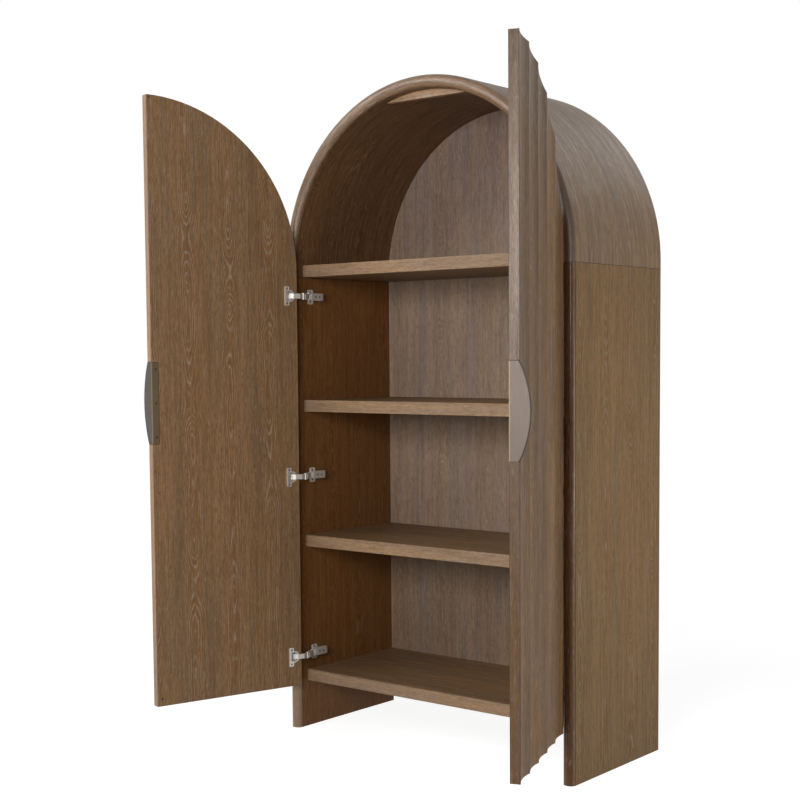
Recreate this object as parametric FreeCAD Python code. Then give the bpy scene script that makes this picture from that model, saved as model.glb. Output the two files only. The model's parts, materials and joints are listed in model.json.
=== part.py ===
import FreeCAD, Part
import math
import os
from FreeCAD import Vector

# Arched two-door cabinet, millimetres, +Z up, front towards -Y.
# It is drawn with the front of the carcass at y = 0 and the floor at z = 0, and
# written out with the middle of its footprint at the origin.

# Carcass
WIDTH = 1118.0          # outside, across the side panels
DEPTH = 495.0           # front of the rounded lipping to the rear edge
SPRING_Z = 1522.0       # height at which the sides turn into the arch
WALL = 38.0             # side panels and arch shell
SEAM_Z = 1497.0         # joint between the side panels and the arch shell
NOSE = 16.0             # depth of the rounded front of the lippings
LIPPING = 17.0          # solid lipping, front to back
BACK_INSET = 1.0        # rear edge of the carcass to the back panel
BACK_THICK = 8.0
REBATE = 12.0           # how far the back panel is let into the wall
PANEL_CLEARANCE = 0.3   # around the back panel in its rebate

# Boards
BOARD_THICK = 38.0
BOARD_SETBACK = 46.0    # front of the carcass to the front of each board
BOARD_LIPPING = 10.0
BOTTOM_TOP = 193.0      # upper faces of the boards
LOWER_TOP = 645.0
MIDDLE_TOP = 1094.0
UPPER_TOP = 1536.0

# Dowels and back screws
DOWEL_RADIUS = 4.0
DOWEL_LENGTH = 30.0
DOWEL_INSET = 70.0      # first and last dowel from the front and rear of a board
ARCH_DOWEL_RADIUS = 5.0
ARCH_DOWEL_LENGTH = 40.0
ARCH_DOWEL_INSET = 140.0
FIT = 0.05              # radial clearance of a pin, dowel or screw in its hole
END_FIT = 0.5           # space beyond the end of a dowel or screw
SCREW_RADIUS = 1.75
SCREW_HEAD_RADIUS = 3.5
SCREW_HEAD_DEPTH = 2.0
BACK_SCREW_LENGTH = 24.0
BACK_SCREW_END = 60.0   # lowest and highest screw of a side, from the panel's straight edge ends
BACK_SCREWS_PER_SIDE = 4
BACK_SCREWS_IN_ARCH = 5

# Doors
DOOR_BOTTOM = 151.0
DOOR_THICK = 28.0
DOOR_CORE = 14.0        # flat inner panel; the fluted staves are the rest
DOOR_SIDE_GAP = 4.0     # door to the wall of the carcass
DOOR_TOP_GAP = 10.0     # top of the door to the crown of the opening
DOOR_MIDDLE_GAP = 4.0   # between the two doors
STOP_GAP = 0.6          # closed door to the boards and the stop behind it
EDGE_LIPPING = 4.0      # solid strip on the free edge
HINGE_LAND = 4.0        # flat strip of the fluted face beside the hinge edge
FLUTES = 5
FLUTE_DEPTH = 7.5
CUSP_RADIUS = 6.0
LEFT_ANGLE_DEG = 106.5      # opening at which each door stands
RIGHT_ANGLE_DEG = 111.0

# Stop and catches
STOP_RISE = 23.0        # flat underside of the stop block to the crown of the opening
STOP_DEPTH = 20.0
MAGNET_RADIUS = 3.5
MAGNET_DEPTH = 6.0
MAGNET_INSET = 0.3      # face of the magnet behind the wood
STRIKE_RADIUS = 4.0
STRIKE_THICK = 1.5
TOP_CATCH_X = 10.0
TOP_CATCH_DROP = 17.0   # below the crown of the arch opening
BOTTOM_CATCH_X = 17.4

# Pulls
PULL_Z = 1097.0
PULL_HEIGHT = 254.0
PULL_PLATE = 2.5
PULL_REACH = 30.0       # half-moon beyond the fluted face
PULL_FLANGE = 24.0      # strip let into the inner face
PULL_CORNER = 5.0
PULL_FIT = 0.1
PULL_SCREW_INSET = 22.0  # from the ends of the strip
PULL_SCREW_LENGTH = 12.0

# Hinges, seen from above, measured from the front inner corner of the wall
LOW_HINGE_Z = 248.0
MIDDLE_HINGE_Z = 844.0
TOP_HINGE_Z = 1434.0
AXIS_IN_WALL = 6.5      # the door turns about this line in the wall
AXIS_SETBACK = 13.0
ARM_PIVOT_X = 13.0
ARM_PIVOT_Y = 58.0
CUP_EDGE = 27.0         # hinge edge of the door to the centre of the cup
CUP_RADIUS = 17.5
CUP_WALL = 1.6
CUP_DEPTH = 12.5
CUP_FLOOR = 1.0
CUP_PIVOT_SHIFT = 3.0   # from the centre of the cup towards the hinge edge
CUP_PIVOT_DEPTH = 7.0
RIM_WIDTH = 1.8         # round flange beyond the cup
FLANGE_THICK = 2.0
EAR_EDGE = 29.0         # hinge edge of the door to the near side of the flange's ears
EAR_WIDTH = 17.0
EAR_HEIGHT = 62.0
EAR_CORNER = 3.0
FOLD_THICK = 4.0        # raised strip along the far side of the ears
FOLD_RISE = 5.0         # its height over the door
NOTCH_GAP = 0.6         # strap to the notch in the flange
CUP_SCREW_SHIFT = 9.5
CUP_SCREW_PITCH = 48.0
CUP_SCREW_LENGTH = 13.0
PIN_RADIUS = 1.75
PIN_SEAT = 0.8          # how far a cup pin enters the wall of the cup
STRAP_HALF = 8.0        # half the height of the strap between the link's cheeks
STRAP_THICK = 3.0
STRAP_BOSS = 3.6
RIM_SHARES = (0.66, 0.126)      # bends of the strap, as shares of the step from the
EDGE_SHARES = (1.10, 0.60)      # cup pin to the knuckle, sideways and to the rear
LINK_GAP = 0.4          # strap to link cheek, and link cheek to arm cheek
LINK_CHEEK = 1.6
LINK_BOSS = 5.0
LINK_WEB = 1.5
ARM_CHEEK = 1.6
ARM_BOSS = 5.0
ARM_RISE = 18.0         # outer face of the arm from the wall
ARM_FOOT = 2.8          # lower edge of the arm's cheeks from the wall
ARM_WEB_START = 70.0
ARM_BODY_START = 62.0
ARM_END = 124.0
ARM_SCREW_RADIUS = 3.5
ARM_SCREW_HEAD = 1.2
ARM_SCREW_DEPTH = 8.0
ARM_SCREW_INSET = 18.0
PLATE_THICK = 2.5
PLATE_START = 60.0
PLATE_END = 126.0
PLATE_SPINE = 7.0       # half the height of the spine
CARRIER_RISE = 15.0
CARRIER_GAP = 0.3       # carrier to the cheeks of the arm
CARRIER_START = 76.0
CARRIER_END = 120.0
WING_START = 66.0
WING_END = 92.0
WING_HALF = 24.0
WING_CORNER = 6.0
WING_SCREW = 16.0       # above and below the middle of the plate
WING_SCREW_LENGTH = 16.0

OVERRUN = 5.0           # how far a cutting body runs past what it cuts

# Worked out from the sizes above
OUTER_R = WIDTH / 2
INNER_R = OUTER_R - WALL
CROWN_Z = SPRING_Z + OUTER_R
BACK_FACE = DEPTH - BACK_INSET - BACK_THICK
DOOR_INNER = BOARD_SETBACK - STOP_GAP
DOOR_OUTER = DOOR_INNER - DOOR_THICK
DOOR_SPLIT = DOOR_INNER - DOOR_CORE
DOOR_R = INNER_R - DOOR_SIDE_GAP
DOOR_TOP = SPRING_Z + INNER_R - DOOR_TOP_GAP
DOOR_FREE = DOOR_MIDDLE_GAP / 2
DOOR_SEAM = -DOOR_FREE - EDGE_LIPPING
BOARD_TOPS = {
    "bottom_board": BOTTOM_TOP, "lower_shelf": LOWER_TOP, "middle_shelf": MIDDLE_TOP, "top_shelf": UPPER_TOP}
UNDERSIDE = BOTTOM_TOP - BOARD_THICK
TOP_CATCH_Z = SPRING_Z + INNER_R - TOP_CATCH_DROP
BOTTOM_CATCH_Z = BOTTOM_TOP - BOARD_THICK / 2
STOP_CHORD_Z = SPRING_Z + INNER_R - STOP_RISE
UP = Vector(0, 0, 1)
BACKWARDS = Vector(0, 1, 0)
SIDEWAYS = Vector(1, 0, 0)
LINK_INSIDE = STRAP_HALF + LINK_GAP
LINK_OUTSIDE = LINK_INSIDE + LINK_CHEEK
ARM_INSIDE = LINK_OUTSIDE + LINK_GAP
ARM_OUTSIDE = ARM_INSIDE + ARM_CHEEK
CARRIER_HALF = ARM_INSIDE - CARRIER_GAP


def block(low, high):
    """Box between two corners."""
    size = Vector(*high) - Vector(*low)
    return Part.makeBox(size.x, size.y, size.z, Vector(*low))


def rod(radius, start, direction, length):
    return Part.makeCylinder(radius, length, Vector(*start), Vector(*direction))


def closed_face(edges):
    return Part.Face(Part.Wire(Part.__sortEdges__(edges)))


def line(a, b):
    return Part.makeLine(Vector(*a), Vector(*b))


def arc(a, through, b):
    return Part.Arc(Vector(*a), Vector(*through), Vector(*b)).toShape()


def polygon(points):
    """Face with straight sides."""
    corners = [Vector(*p) for p in points]
    return Part.Face(Part.makePolygon(corners + corners[:1]))


def rounded_plate(y0, y1, z0, z1, x0, x1, corner):
    """Plate in the YZ plane with its four corners rounded."""
    plate = block((x0, y0, z0), (x1, y1, z1))
    edges = [e for e in plate.Edges if abs(e.tangentAt(e.FirstParameter).x) > 0.5]
    return plate.makeFillet(corner, edges)


def mirrored(shape):
    """The same thing on the right-hand side."""
    return shape.mirror(Vector(0, 0, 0), SIDEWAYS)


def moved(shape, offset):
    copy = shape.copy()
    copy.translate(Vector(*offset))
    return copy


def turned(shape, centre, degrees):
    copy = shape.copy()
    copy.rotate(Vector(*centre), UP, degrees)
    return copy


def arch_slab(radius, y0, y1, z0, spring=SPRING_Z):
    """Upright slab with a half-round top of the given radius."""
    left, right = (-radius, y0, spring), (radius, y0, spring)
    outline = [
        line((-radius, y0, z0), (radius, y0, z0)),
        line((radius, y0, z0), right),
        arc(right, (0, y0, spring + radius), left),
        line(left, (-radius, y0, z0)),
    ]
    return closed_face(outline).extrude(BACKWARDS * (y1 - y0))


def screw(head, direction, length):
    """Countersunk screw whose head starts at the given point."""
    cone = Part.makeCone(SCREW_HEAD_RADIUS, SCREW_RADIUS, SCREW_HEAD_DEPTH, Vector(*head), Vector(*direction))
    shank = rod(SCREW_RADIUS, head, direction, length)
    return cone.fuse(shank).removeSplitter()


def screw_hole(head, direction, length):
    """Hole that such a screw sits in."""
    cone = Part.makeCone(
        SCREW_HEAD_RADIUS + FIT, SCREW_RADIUS + FIT, SCREW_HEAD_DEPTH, Vector(*head), Vector(*direction))
    shank = rod(SCREW_RADIUS + FIT, head, direction, length + END_FIT)
    return cone.fuse(shank)


def cut_all(shape, tools):
    for tool in tools:
        shape = shape.cut(tool)
    return shape


# Carcass


def nose_face(z):
    """Section of the right-hand lipping with its half-elliptical front, at a height."""
    middle = (INNER_R + OUTER_R) / 2
    half = WALL / 2
    if half >= NOSE:
        ellipse = Part.Ellipse(Vector(middle, NOSE, z), half, NOSE)
        front = Part.ArcOfEllipse(ellipse, math.pi, 2 * math.pi).toShape()
    else:
        ellipse = Part.Ellipse(Vector(middle, 0, z), Vector(OUTER_R, NOSE, z), Vector(middle, NOSE, z))
        front = Part.ArcOfEllipse(ellipse, -math.pi / 2, math.pi / 2).toShape()
    return closed_face([
        front,
        line((OUTER_R, NOSE, z), (OUTER_R, LIPPING, z)),
        line((OUTER_R, LIPPING, z), (INNER_R, LIPPING, z)),
        line((INNER_R, LIPPING, z), (INNER_R, NOSE, z)),
    ])


def wall_face(z):
    """Section of the right-hand wall behind its lipping, with the rebate at the rear."""
    rebate = INNER_R + REBATE
    return polygon([
        (INNER_R, LIPPING, z), (OUTER_R, LIPPING, z), (OUTER_R, DEPTH, z),
        (rebate, DEPTH, z), (rebate, BACK_FACE, z), (INNER_R, BACK_FACE, z),
    ])


def over_the_arch(section):
    """Sweep a section of the wall from the seam over the arch and down to the other seam."""
    straight = section(SEAM_Z).extrude(UP * (SPRING_Z - SEAM_Z))
    bend = section(SPRING_Z).revolve(Vector(0, 0, SPRING_Z), BACKWARDS, -180)
    return straight.fuse([bend, mirrored(straight)]).removeSplitter()


def shelf_dowel_places():
    """Centre line of each dowel in the right-hand ends of the boards."""
    first = BOARD_SETBACK + DOWEL_INSET
    last = BACK_FACE - DOWEL_INSET
    for top in BOARD_TOPS.values():
        for y in (first, last):
            yield y, top - BOARD_THICK / 2


def shelf_dowels(radius, length):
    """Dowels across the right-hand wall face, half in the board and half in the wall."""
    return [rod(radius, (INNER_R - length / 2, y, z), (1, 0, 0), length) for y, z in shelf_dowel_places()]


def arch_dowels(radius, length):
    """Upright dowels across the right-hand seam."""
    middle = (INNER_R + OUTER_R) / 2
    places = (ARCH_DOWEL_INSET, (ARCH_DOWEL_INSET + DEPTH - ARCH_DOWEL_INSET) / 2, DEPTH - ARCH_DOWEL_INSET)
    return [rod(radius, (middle, y, SEAM_Z - length / 2), (0, 0, 1), length) for y in places]


def both_sides(shapes):
    return shapes + [mirrored(s) for s in shapes]


def back_screw_places():
    """Screws along both sides and round the arch, in the rebate."""
    radius = INNER_R + REBATE / 2
    low, high = UNDERSIDE + BACK_SCREW_END, SPRING_Z - BACK_SCREW_END
    step = (high - low) / (BACK_SCREWS_PER_SIDE - 1)
    for n in range(BACK_SCREWS_PER_SIDE):
        yield radius, low + n * step
        yield -radius, low + n * step
    for n in range(BACK_SCREWS_IN_ARCH):
        angle = math.pi * (n + 0.5) / BACK_SCREWS_IN_ARCH
        yield radius * math.cos(angle), SPRING_Z + radius * math.sin(angle)


def make_carcass(parts, hinge_cuts):
    holes = shelf_dowels(DOWEL_RADIUS + FIT, DOWEL_LENGTH + END_FIT)
    seam_holes = arch_dowels(ARCH_DOWEL_RADIUS + FIT, ARCH_DOWEL_LENGTH + END_FIT)
    rear = DEPTH - BACK_INSET
    back_holes = [screw_hole((x, rear, z), (0, -1, 0), BACK_SCREW_LENGTH) for x, z in back_screw_places()]

    side = wall_face(0).extrude(UP * SEAM_Z)
    foot = block((INNER_R, BACK_FACE, 0), (INNER_R + REBATE, DEPTH, UNDERSIDE - PANEL_CLEARANCE))
    side = side.fuse(foot).removeSplitter()
    side = cut_all(side, holes + seam_holes)
    parts["side_panel_right"] = cut_all(side, back_holes + [mirrored(c) for c in hinge_cuts])
    parts["side_panel_left"] = cut_all(mirrored(side), back_holes + hinge_cuts)
    lipping = nose_face(0).extrude(UP * SEAM_Z)
    parts["side_lipping_right"] = lipping
    parts["side_lipping_left"] = mirrored(lipping)

    parts["arch_shell"] = cut_all(over_the_arch(wall_face), both_sides(holes + seam_holes) + back_holes)
    parts["arch_lipping"] = over_the_arch(nose_face)

    panel_r = INNER_R + REBATE - PANEL_CLEARANCE
    parts["back_panel"] = cut_all(arch_slab(panel_r, BACK_FACE, rear, UNDERSIDE), back_holes)
    parts["back_panel_screws"] = Part.makeCompound(
        [screw((x, rear, z), (0, -1, 0), BACK_SCREW_LENGTH) for x, z in back_screw_places()])

    opening = arch_slab(INNER_R, 0, DEPTH, 0)
    strips = []
    for name, top in BOARD_TOPS.items():
        low = top - BOARD_THICK
        middle = BOARD_SETBACK + BOARD_LIPPING
        board = block((-INNER_R, middle, low), (INNER_R, BACK_FACE, top)).common(opening)
        strip = block((-INNER_R, BOARD_SETBACK, low), (INNER_R, middle, top)).common(opening)
        parts[name] = cut_all(board, both_sides(holes))
        strips.append(strip)
    magnets = make_magnets()
    parts["shelf_lippings"] = Part.makeCompound([cut_all(s, magnets["holes"]) for s in strips])

    parts["door_stop"] = cut_all(make_stop(), magnets["holes"])
    parts["catch_magnets"] = Part.makeCompound(magnets["solids"])

    parts["shelf_dowels"] = Part.makeCompound(both_sides(shelf_dowels(DOWEL_RADIUS, DOWEL_LENGTH)))
    parts["arch_dowels"] = Part.makeCompound(both_sides(arch_dowels(ARCH_DOWEL_RADIUS, ARCH_DOWEL_LENGTH)))


def make_stop():
    """Segment under the crown of the arch, with a flat underside, that both doors close against."""
    disc = rod(INNER_R, (0, BOARD_SETBACK, SPRING_Z), (0, 1, 0), STOP_DEPTH)
    return disc.common(block((-INNER_R, 0, STOP_CHORD_Z), (INNER_R, DEPTH, CROWN_Z)))


def make_magnets():
    solids, holes = [], []
    places = [(TOP_CATCH_X, TOP_CATCH_Z), (BOTTOM_CATCH_X, BOTTOM_CATCH_Z)]
    for x, z in places + [(-x, z) for x, z in places]:
        front = (x, BOARD_SETBACK + MAGNET_INSET, z)
        solids.append(rod(MAGNET_RADIUS, front, (0, 1, 0), MAGNET_DEPTH))
        mouth = (x, BOARD_SETBACK, z)
        holes.append(rod(MAGNET_RADIUS + FIT, mouth, (0, 1, 0), MAGNET_INSET + MAGNET_DEPTH))
    return {"solids": solids, "holes": holes}


# Doors, drawn closed and on the left


def flute_edges(n, z):
    """Front outline of one stave: a cove between two slightly rounded cusps."""
    first = -DOOR_R + HINGE_LAND
    pitch = (DOOR_SEAM - first) / FLUTES
    middle = first + (n + 0.5) * pitch
    radius = (pitch ** 2 / 4 + FLUTE_DEPTH ** 2) / (2 * FLUTE_DEPTH)
    centre_y = DOOR_OUTER + FLUTE_DEPTH - radius
    reach = radius + CUSP_RADIUS
    cusp_y = centre_y + math.sqrt(reach ** 2 - pitch ** 2 / 4)
    share = radius / reach
    touch_y = centre_y + (cusp_y - centre_y) * share
    bottom = (middle, DOOR_OUTER + FLUTE_DEPTH, z)
    ends, edges = [], []
    for side, rounded in ((-1, n > 0), (1, n < FLUTES - 1)):
        cusp_x = middle + side * pitch / 2
        if not rounded:
            end = (cusp_x, DOOR_OUTER, z)
            past = (-DOOR_R - OVERRUN, DOOR_OUTER, z) if side < 0 else end
            if side < 0:
                edges.append(line(end, past))
            ends.append((end, past))
            continue
        touch = (middle + side * share * pitch / 2, touch_y, z)
        crest = (cusp_x, cusp_y - CUSP_RADIUS, z)
        lean = math.atan2(cusp_x - touch[0], cusp_y - touch[1]) / 2
        between = (cusp_x - CUSP_RADIUS * math.sin(lean), cusp_y - CUSP_RADIUS * math.cos(lean), z)
        edges.append(arc(touch, between, crest))
        ends.append((touch, crest))
    edges.append(arc(ends[0][0], bottom, ends[1][0]))
    return edges, ends[0][1], ends[1][1]


def stave(n):
    """One fluted stave, from its crests back to the inner panel."""
    edges, left, right = flute_edges(n, DOOR_BOTTOM)
    back_left = (left[0], DOOR_SPLIT, DOOR_BOTTOM)
    back_right = (right[0], DOOR_SPLIT, DOOR_BOTTOM)
    edges += [line(left, back_left), line(back_left, back_right), line(back_right, right)]
    return closed_face(edges).extrude(UP * (DOOR_TOP - DOOR_BOTTOM))


def make_door():
    """Left door with its pull and catches, closed."""
    outline = arch_slab(DOOR_R, 0, DEPTH, DOOR_BOTTOM, DOOR_TOP - DOOR_R)
    edge = block((DOOR_SEAM, DOOR_OUTER, DOOR_BOTTOM), (-DOOR_FREE, DOOR_INNER, DOOR_TOP)).common(outline)
    core = block((-DOOR_R - OVERRUN, DOOR_SPLIT, DOOR_BOTTOM), (DOOR_SEAM, DOOR_INNER, DOOR_TOP)).common(outline)
    staves = [stave(n).common(outline) for n in range(FLUTES)]

    low, high = PULL_Z - PULL_HEIGHT / 2, PULL_Z + PULL_HEIGHT / 2
    flange_x = -DOOR_FREE - PULL_FLANGE
    pull = make_pull(low, high, flange_x)
    edge_recess = block(
        (-DOOR_FREE - PULL_PLATE, DOOR_OUTER - OVERRUN, low - PULL_FIT), (OVERRUN, DOOR_INNER, high + PULL_FIT))
    flange_recess = rounded_strip(flange_x - PULL_FIT, low - PULL_FIT, high + PULL_FIT, PULL_CORNER + PULL_FIT)
    screw_x = -DOOR_FREE - PULL_FLANGE / 2 - PULL_PLATE
    heads = [(screw_x, DOOR_INNER, z) for z in (low + PULL_SCREW_INSET, PULL_Z, high - PULL_SCREW_INSET)]
    screw_holes = [screw_hole(h, (0, -1, 0), PULL_SCREW_LENGTH) for h in heads]

    strikes, seats = [], []
    for x, z in ((-TOP_CATCH_X, TOP_CATCH_Z), (-BOTTOM_CATCH_X, BOTTOM_CATCH_Z)):
        start = (x, DOOR_INNER, z)
        strikes.append(rod(STRIKE_RADIUS, start, (0, -1, 0), STRIKE_THICK))
        seats.append(rod(STRIKE_RADIUS + FIT, start, (0, -1, 0), STRIKE_THICK))

    return {
        "door_core": cut_all(core, [edge_recess, flange_recess] + screw_holes + seats),
        "door_staves": Part.makeCompound(staves),
        "door_edge": cut_all(edge, [edge_recess, flange_recess]),
        "door_pull": cut_all(pull, screw_holes),
        "pull_screws": Part.makeCompound([screw(h, (0, -1, 0), PULL_SCREW_LENGTH) for h in heads]),
        "strike_plates": Part.makeCompound(strikes),
    }


def rounded_strip(x0, z0, z1, corner):
    """Strip on the inner face from x0 to the free edge, with the two far corners rounded."""
    strip = block((x0, DOOR_INNER - PULL_PLATE, z0), (-DOOR_FREE, DOOR_INNER, z1))
    far = [e for e in strip.Edges if abs(e.tangentAt(e.FirstParameter).y) > 0.5 and e.CenterOfMass.x < x0 + corner]
    return strip.makeFillet(corner, far)


def make_pull(low, high, flange_x):
    """Folded plate: a strip on the inner face, and a half-moon that passes over the free edge."""
    x = -DOOR_FREE - PULL_PLATE
    outline = [
        line((x, DOOR_OUTER, low), (x, DOOR_INNER, low)),
        line((x, DOOR_INNER, low), (x, DOOR_INNER, high)),
        line((x, DOOR_INNER, high), (x, DOOR_OUTER, high)),
        arc((x, DOOR_OUTER, high), (x, DOOR_OUTER - PULL_REACH, PULL_Z), (x, DOOR_OUTER, low)),
    ]
    half_moon = closed_face(outline).extrude(SIDEWAYS * PULL_PLATE)
    return half_moon.fuse(rounded_strip(flange_x, low, high, PULL_CORNER)).removeSplitter()


# Hinges, drawn closed and on the left


def at_wall(x, y, z=0.0):
    """Place measured from the front inner corner of the left wall."""
    return (-INNER_R + x, y, z)


def axis_point():
    """Line that the left door turns about."""
    return at_wall(-AXIS_IN_WALL, AXIS_SETBACK)


def cup_centre():
    return (-DOOR_R + CUP_EDGE, DOOR_INNER, 0.0)


def cup_pivot():
    x, y, z = cup_centre()
    return (x - CUP_PIVOT_SHIFT, y - CUP_PIVOT_DEPTH, z)


def link_end():
    """Knuckle between link and strap: the fourth corner of a parallelogram with the door's axis."""
    arm, cup, axis = at_wall(ARM_PIVOT_X, ARM_PIVOT_Y), cup_pivot(), axis_point()
    return (arm[0] + cup[0] - axis[0], arm[1] + cup[1] - axis[1], 0.0)


def bar(start, end, half, z0, z1):
    """Bar with round ends between two places in plan."""
    a, b = Vector(start[0], start[1], z0), Vector(end[0], end[1], z0)
    along = (b - a).normalize()
    across = Vector(-along.y, along.x, 0) * half
    body = polygon([a + across, b + across, b - across, a - across]).extrude(UP * (z1 - z0))
    ends = [rod(half, tuple(p), (0, 0, 1), z1 - z0) for p in (a, b)]
    return body.fuse(ends).removeSplitter()


def make_cup():
    x, y, z = cup_centre()
    shell = rod(CUP_RADIUS, (x, y, z), (0, -1, 0), CUP_DEPTH)
    near, far = -DOOR_R + EAR_EDGE, -DOOR_R + EAR_EDGE + EAR_WIDTH
    ears = block((near, y, -EAR_HEIGHT / 2), (far, y + FLANGE_THICK, EAR_HEIGHT / 2))
    corners = [e for e in ears.Edges if abs(e.tangentAt(e.FirstParameter).y) > 0.5]
    ears = ears.makeFillet(EAR_CORNER, corners)
    half_fold = EAR_HEIGHT / 2 - EAR_CORNER
    fold = block((far - FOLD_THICK, y, -half_fold), (far, y + FOLD_RISE, half_fold))
    flange = rod(CUP_RADIUS + RIM_WIDTH, (x, y, z), (0, 1, 0), FLANGE_THICK).fuse([ears, fold])
    half_notch = STRAP_HALF + NOTCH_GAP
    notch = block((-DOOR_R, y, -half_notch), (x, y + FLANGE_THICK, half_notch))
    flange = flange.cut(notch)
    hollow = rod(CUP_RADIUS - CUP_WALL, (x, y + FLANGE_THICK, z), (0, -1, 0), FLANGE_THICK + CUP_DEPTH - CUP_FLOOR)
    half = cup_pin_half()
    px, py, _ = cup_pivot()
    pin_hole = rod(PIN_RADIUS + FIT, (px, py, -half), (0, 0, 1), 2 * half)
    holes = [screw_hole(h, (0, -1, 0), CUP_SCREW_LENGTH) for h in cup_screw_heads()]
    return cut_all(shell.fuse(flange).removeSplitter(), [hollow, pin_hole] + holes)


def cup_pin_half():
    """Half the length of the pin across the cup, into its wall."""
    inner = CUP_RADIUS - CUP_WALL
    return math.sqrt(inner ** 2 - CUP_PIVOT_SHIFT ** 2) + PIN_SEAT


def cup_screw_heads():
    x, y, _ = cup_centre()
    return [(x + CUP_SCREW_SHIFT, y + FLANGE_THICK, side * CUP_SCREW_PITCH / 2) for side in (-1, 1)]


def make_strap():
    """Bent strap from the cup pin, over the rim, to the knuckle."""
    pivot, knuckle = Vector(*cup_pivot()), Vector(*link_end())
    step = knuckle - pivot
    over_rim = pivot + Vector(step.x * RIM_SHARES[0], step.y * RIM_SHARES[1], 0)
    past_edge = pivot + Vector(step.x * EDGE_SHARES[0], step.y * EDGE_SHARES[1], 0)
    points = [pivot, over_rim, past_edge, knuckle]
    solid = rod(STRAP_BOSS, (pivot.x, pivot.y, -STRAP_HALF), (0, 0, 1), 2 * STRAP_HALF)
    solid = solid.fuse(rod(STRAP_BOSS, (knuckle.x, knuckle.y, -STRAP_HALF), (0, 0, 1), 2 * STRAP_HALF))
    for a, b in zip(points, points[1:]):
        solid = solid.fuse(bar(a, b, STRAP_THICK / 2, -STRAP_HALF, STRAP_HALF))
    solid = solid.removeSplitter()
    for p in (pivot, knuckle):
        solid = solid.cut(rod(PIN_RADIUS + FIT, (p.x, p.y, -STRAP_HALF), (0, 0, 1), 2 * STRAP_HALF))
    return solid


def make_link():
    """Channel-shaped link from the arm's pin to the knuckle."""
    arm, knuckle = Vector(*at_wall(ARM_PIVOT_X, ARM_PIVOT_Y)), Vector(*link_end())
    along = (knuckle - arm).normalize()
    outward = Vector(-along.y, along.x, 0)
    cheeks = [bar(arm, knuckle, LINK_BOSS, z0, z1)
              for z0, z1 in ((LINK_INSIDE, LINK_OUTSIDE), (-LINK_OUTSIDE, -LINK_INSIDE))]
    near, far = arm + along * LINK_BOSS, knuckle - along * LINK_BOSS
    inner, outer = outward * (LINK_BOSS - LINK_WEB), outward * LINK_BOSS
    web = polygon([near + inner, near + outer, far + outer, far + inner])
    web = moved(web.extrude(UP * (2 * LINK_OUTSIDE)), (0, 0, -LINK_OUTSIDE))
    link = cheeks[0].fuse([cheeks[1], web]).removeSplitter()
    for p in (arm, knuckle):
        link = link.cut(rod(PIN_RADIUS + FIT, (p.x, p.y, -LINK_OUTSIDE), (0, 0, 1), 2 * LINK_OUTSIDE))
    return link


def arm_screw_places():
    return [at_wall(ARM_RISE, y) for y in (ARM_WEB_START + ARM_SCREW_INSET, ARM_END - ARM_SCREW_INSET)]


def make_arm():
    """Channel on the mounting plate whose cheeks carry the link's pin."""
    pivot = at_wall(ARM_PIVOT_X, ARM_PIVOT_Y)
    neck = at_wall(ARM_PIVOT_X, ARM_WEB_START)
    cheeks = []
    for z0, z1 in ((ARM_INSIDE, ARM_OUTSIDE), (-ARM_OUTSIDE, -ARM_INSIDE)):
        body = block(at_wall(ARM_FOOT, ARM_BODY_START, z0), at_wall(ARM_RISE, ARM_END, z1))
        cheeks.append(bar(pivot, neck, ARM_BOSS, z0, z1).fuse(body))
    web = block(at_wall(ARM_RISE - ARM_CHEEK, ARM_WEB_START, -ARM_OUTSIDE), at_wall(ARM_RISE, ARM_END, ARM_OUTSIDE))
    arm = cheeks[0].fuse([cheeks[1], web]).removeSplitter()
    arm = arm.cut(rod(PIN_RADIUS + FIT, (pivot[0], pivot[1], -ARM_OUTSIDE), (0, 0, 1), 2 * ARM_OUTSIDE))
    for place in arm_screw_places():
        arm = arm.cut(rod(SCREW_RADIUS + FIT, place, (-1, 0, 0), ARM_CHEEK))
    return arm


def make_arm_screws():
    """Adjusting screws with round heads on the arm's web."""
    screws = []
    for place in arm_screw_places():
        head = rod(ARM_SCREW_RADIUS, place, (1, 0, 0), ARM_SCREW_HEAD)
        screws.append(head.fuse(rod(SCREW_RADIUS, place, (-1, 0, 0), ARM_SCREW_DEPTH)).removeSplitter())
    return screws


def wing_screw_heads():
    middle = (WING_START + WING_END) / 2
    return [at_wall(PLATE_THICK, middle, side * WING_SCREW) for side in (-1, 1)]


def make_plate():
    """Cross-shaped mounting plate with the raised carrier that the arm clips on."""
    wall_x = at_wall(0, 0)[0]
    wings = rounded_plate(WING_START, WING_END, -WING_HALF, WING_HALF, wall_x, wall_x + PLATE_THICK, WING_CORNER)
    spine = block(at_wall(0, PLATE_START, -PLATE_SPINE), at_wall(PLATE_THICK, PLATE_END, PLATE_SPINE))
    carrier = block(at_wall(0, CARRIER_START, -CARRIER_HALF), at_wall(CARRIER_RISE, CARRIER_END, CARRIER_HALF))
    plate = wings.fuse([spine, carrier]).removeSplitter()
    for head in wing_screw_heads():
        plate = plate.cut(screw_hole(head, (-1, 0, 0), WING_SCREW_LENGTH))
    for place in arm_screw_places():
        plate = plate.cut(rod(SCREW_RADIUS + FIT, place, (-1, 0, 0), ARM_SCREW_DEPTH + END_FIT))
    return plate


def at_hinges(shapes):
    """The same solids at the height of each hinge."""
    return [moved(s, (0, 0, z)) for z in (LOW_HINGE_Z, MIDDLE_HINGE_Z, TOP_HINGE_Z) for s in shapes]


def pin(place, half):
    return rod(PIN_RADIUS, (place[0], place[1], -half), (0, 0, 1), 2 * half)


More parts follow.
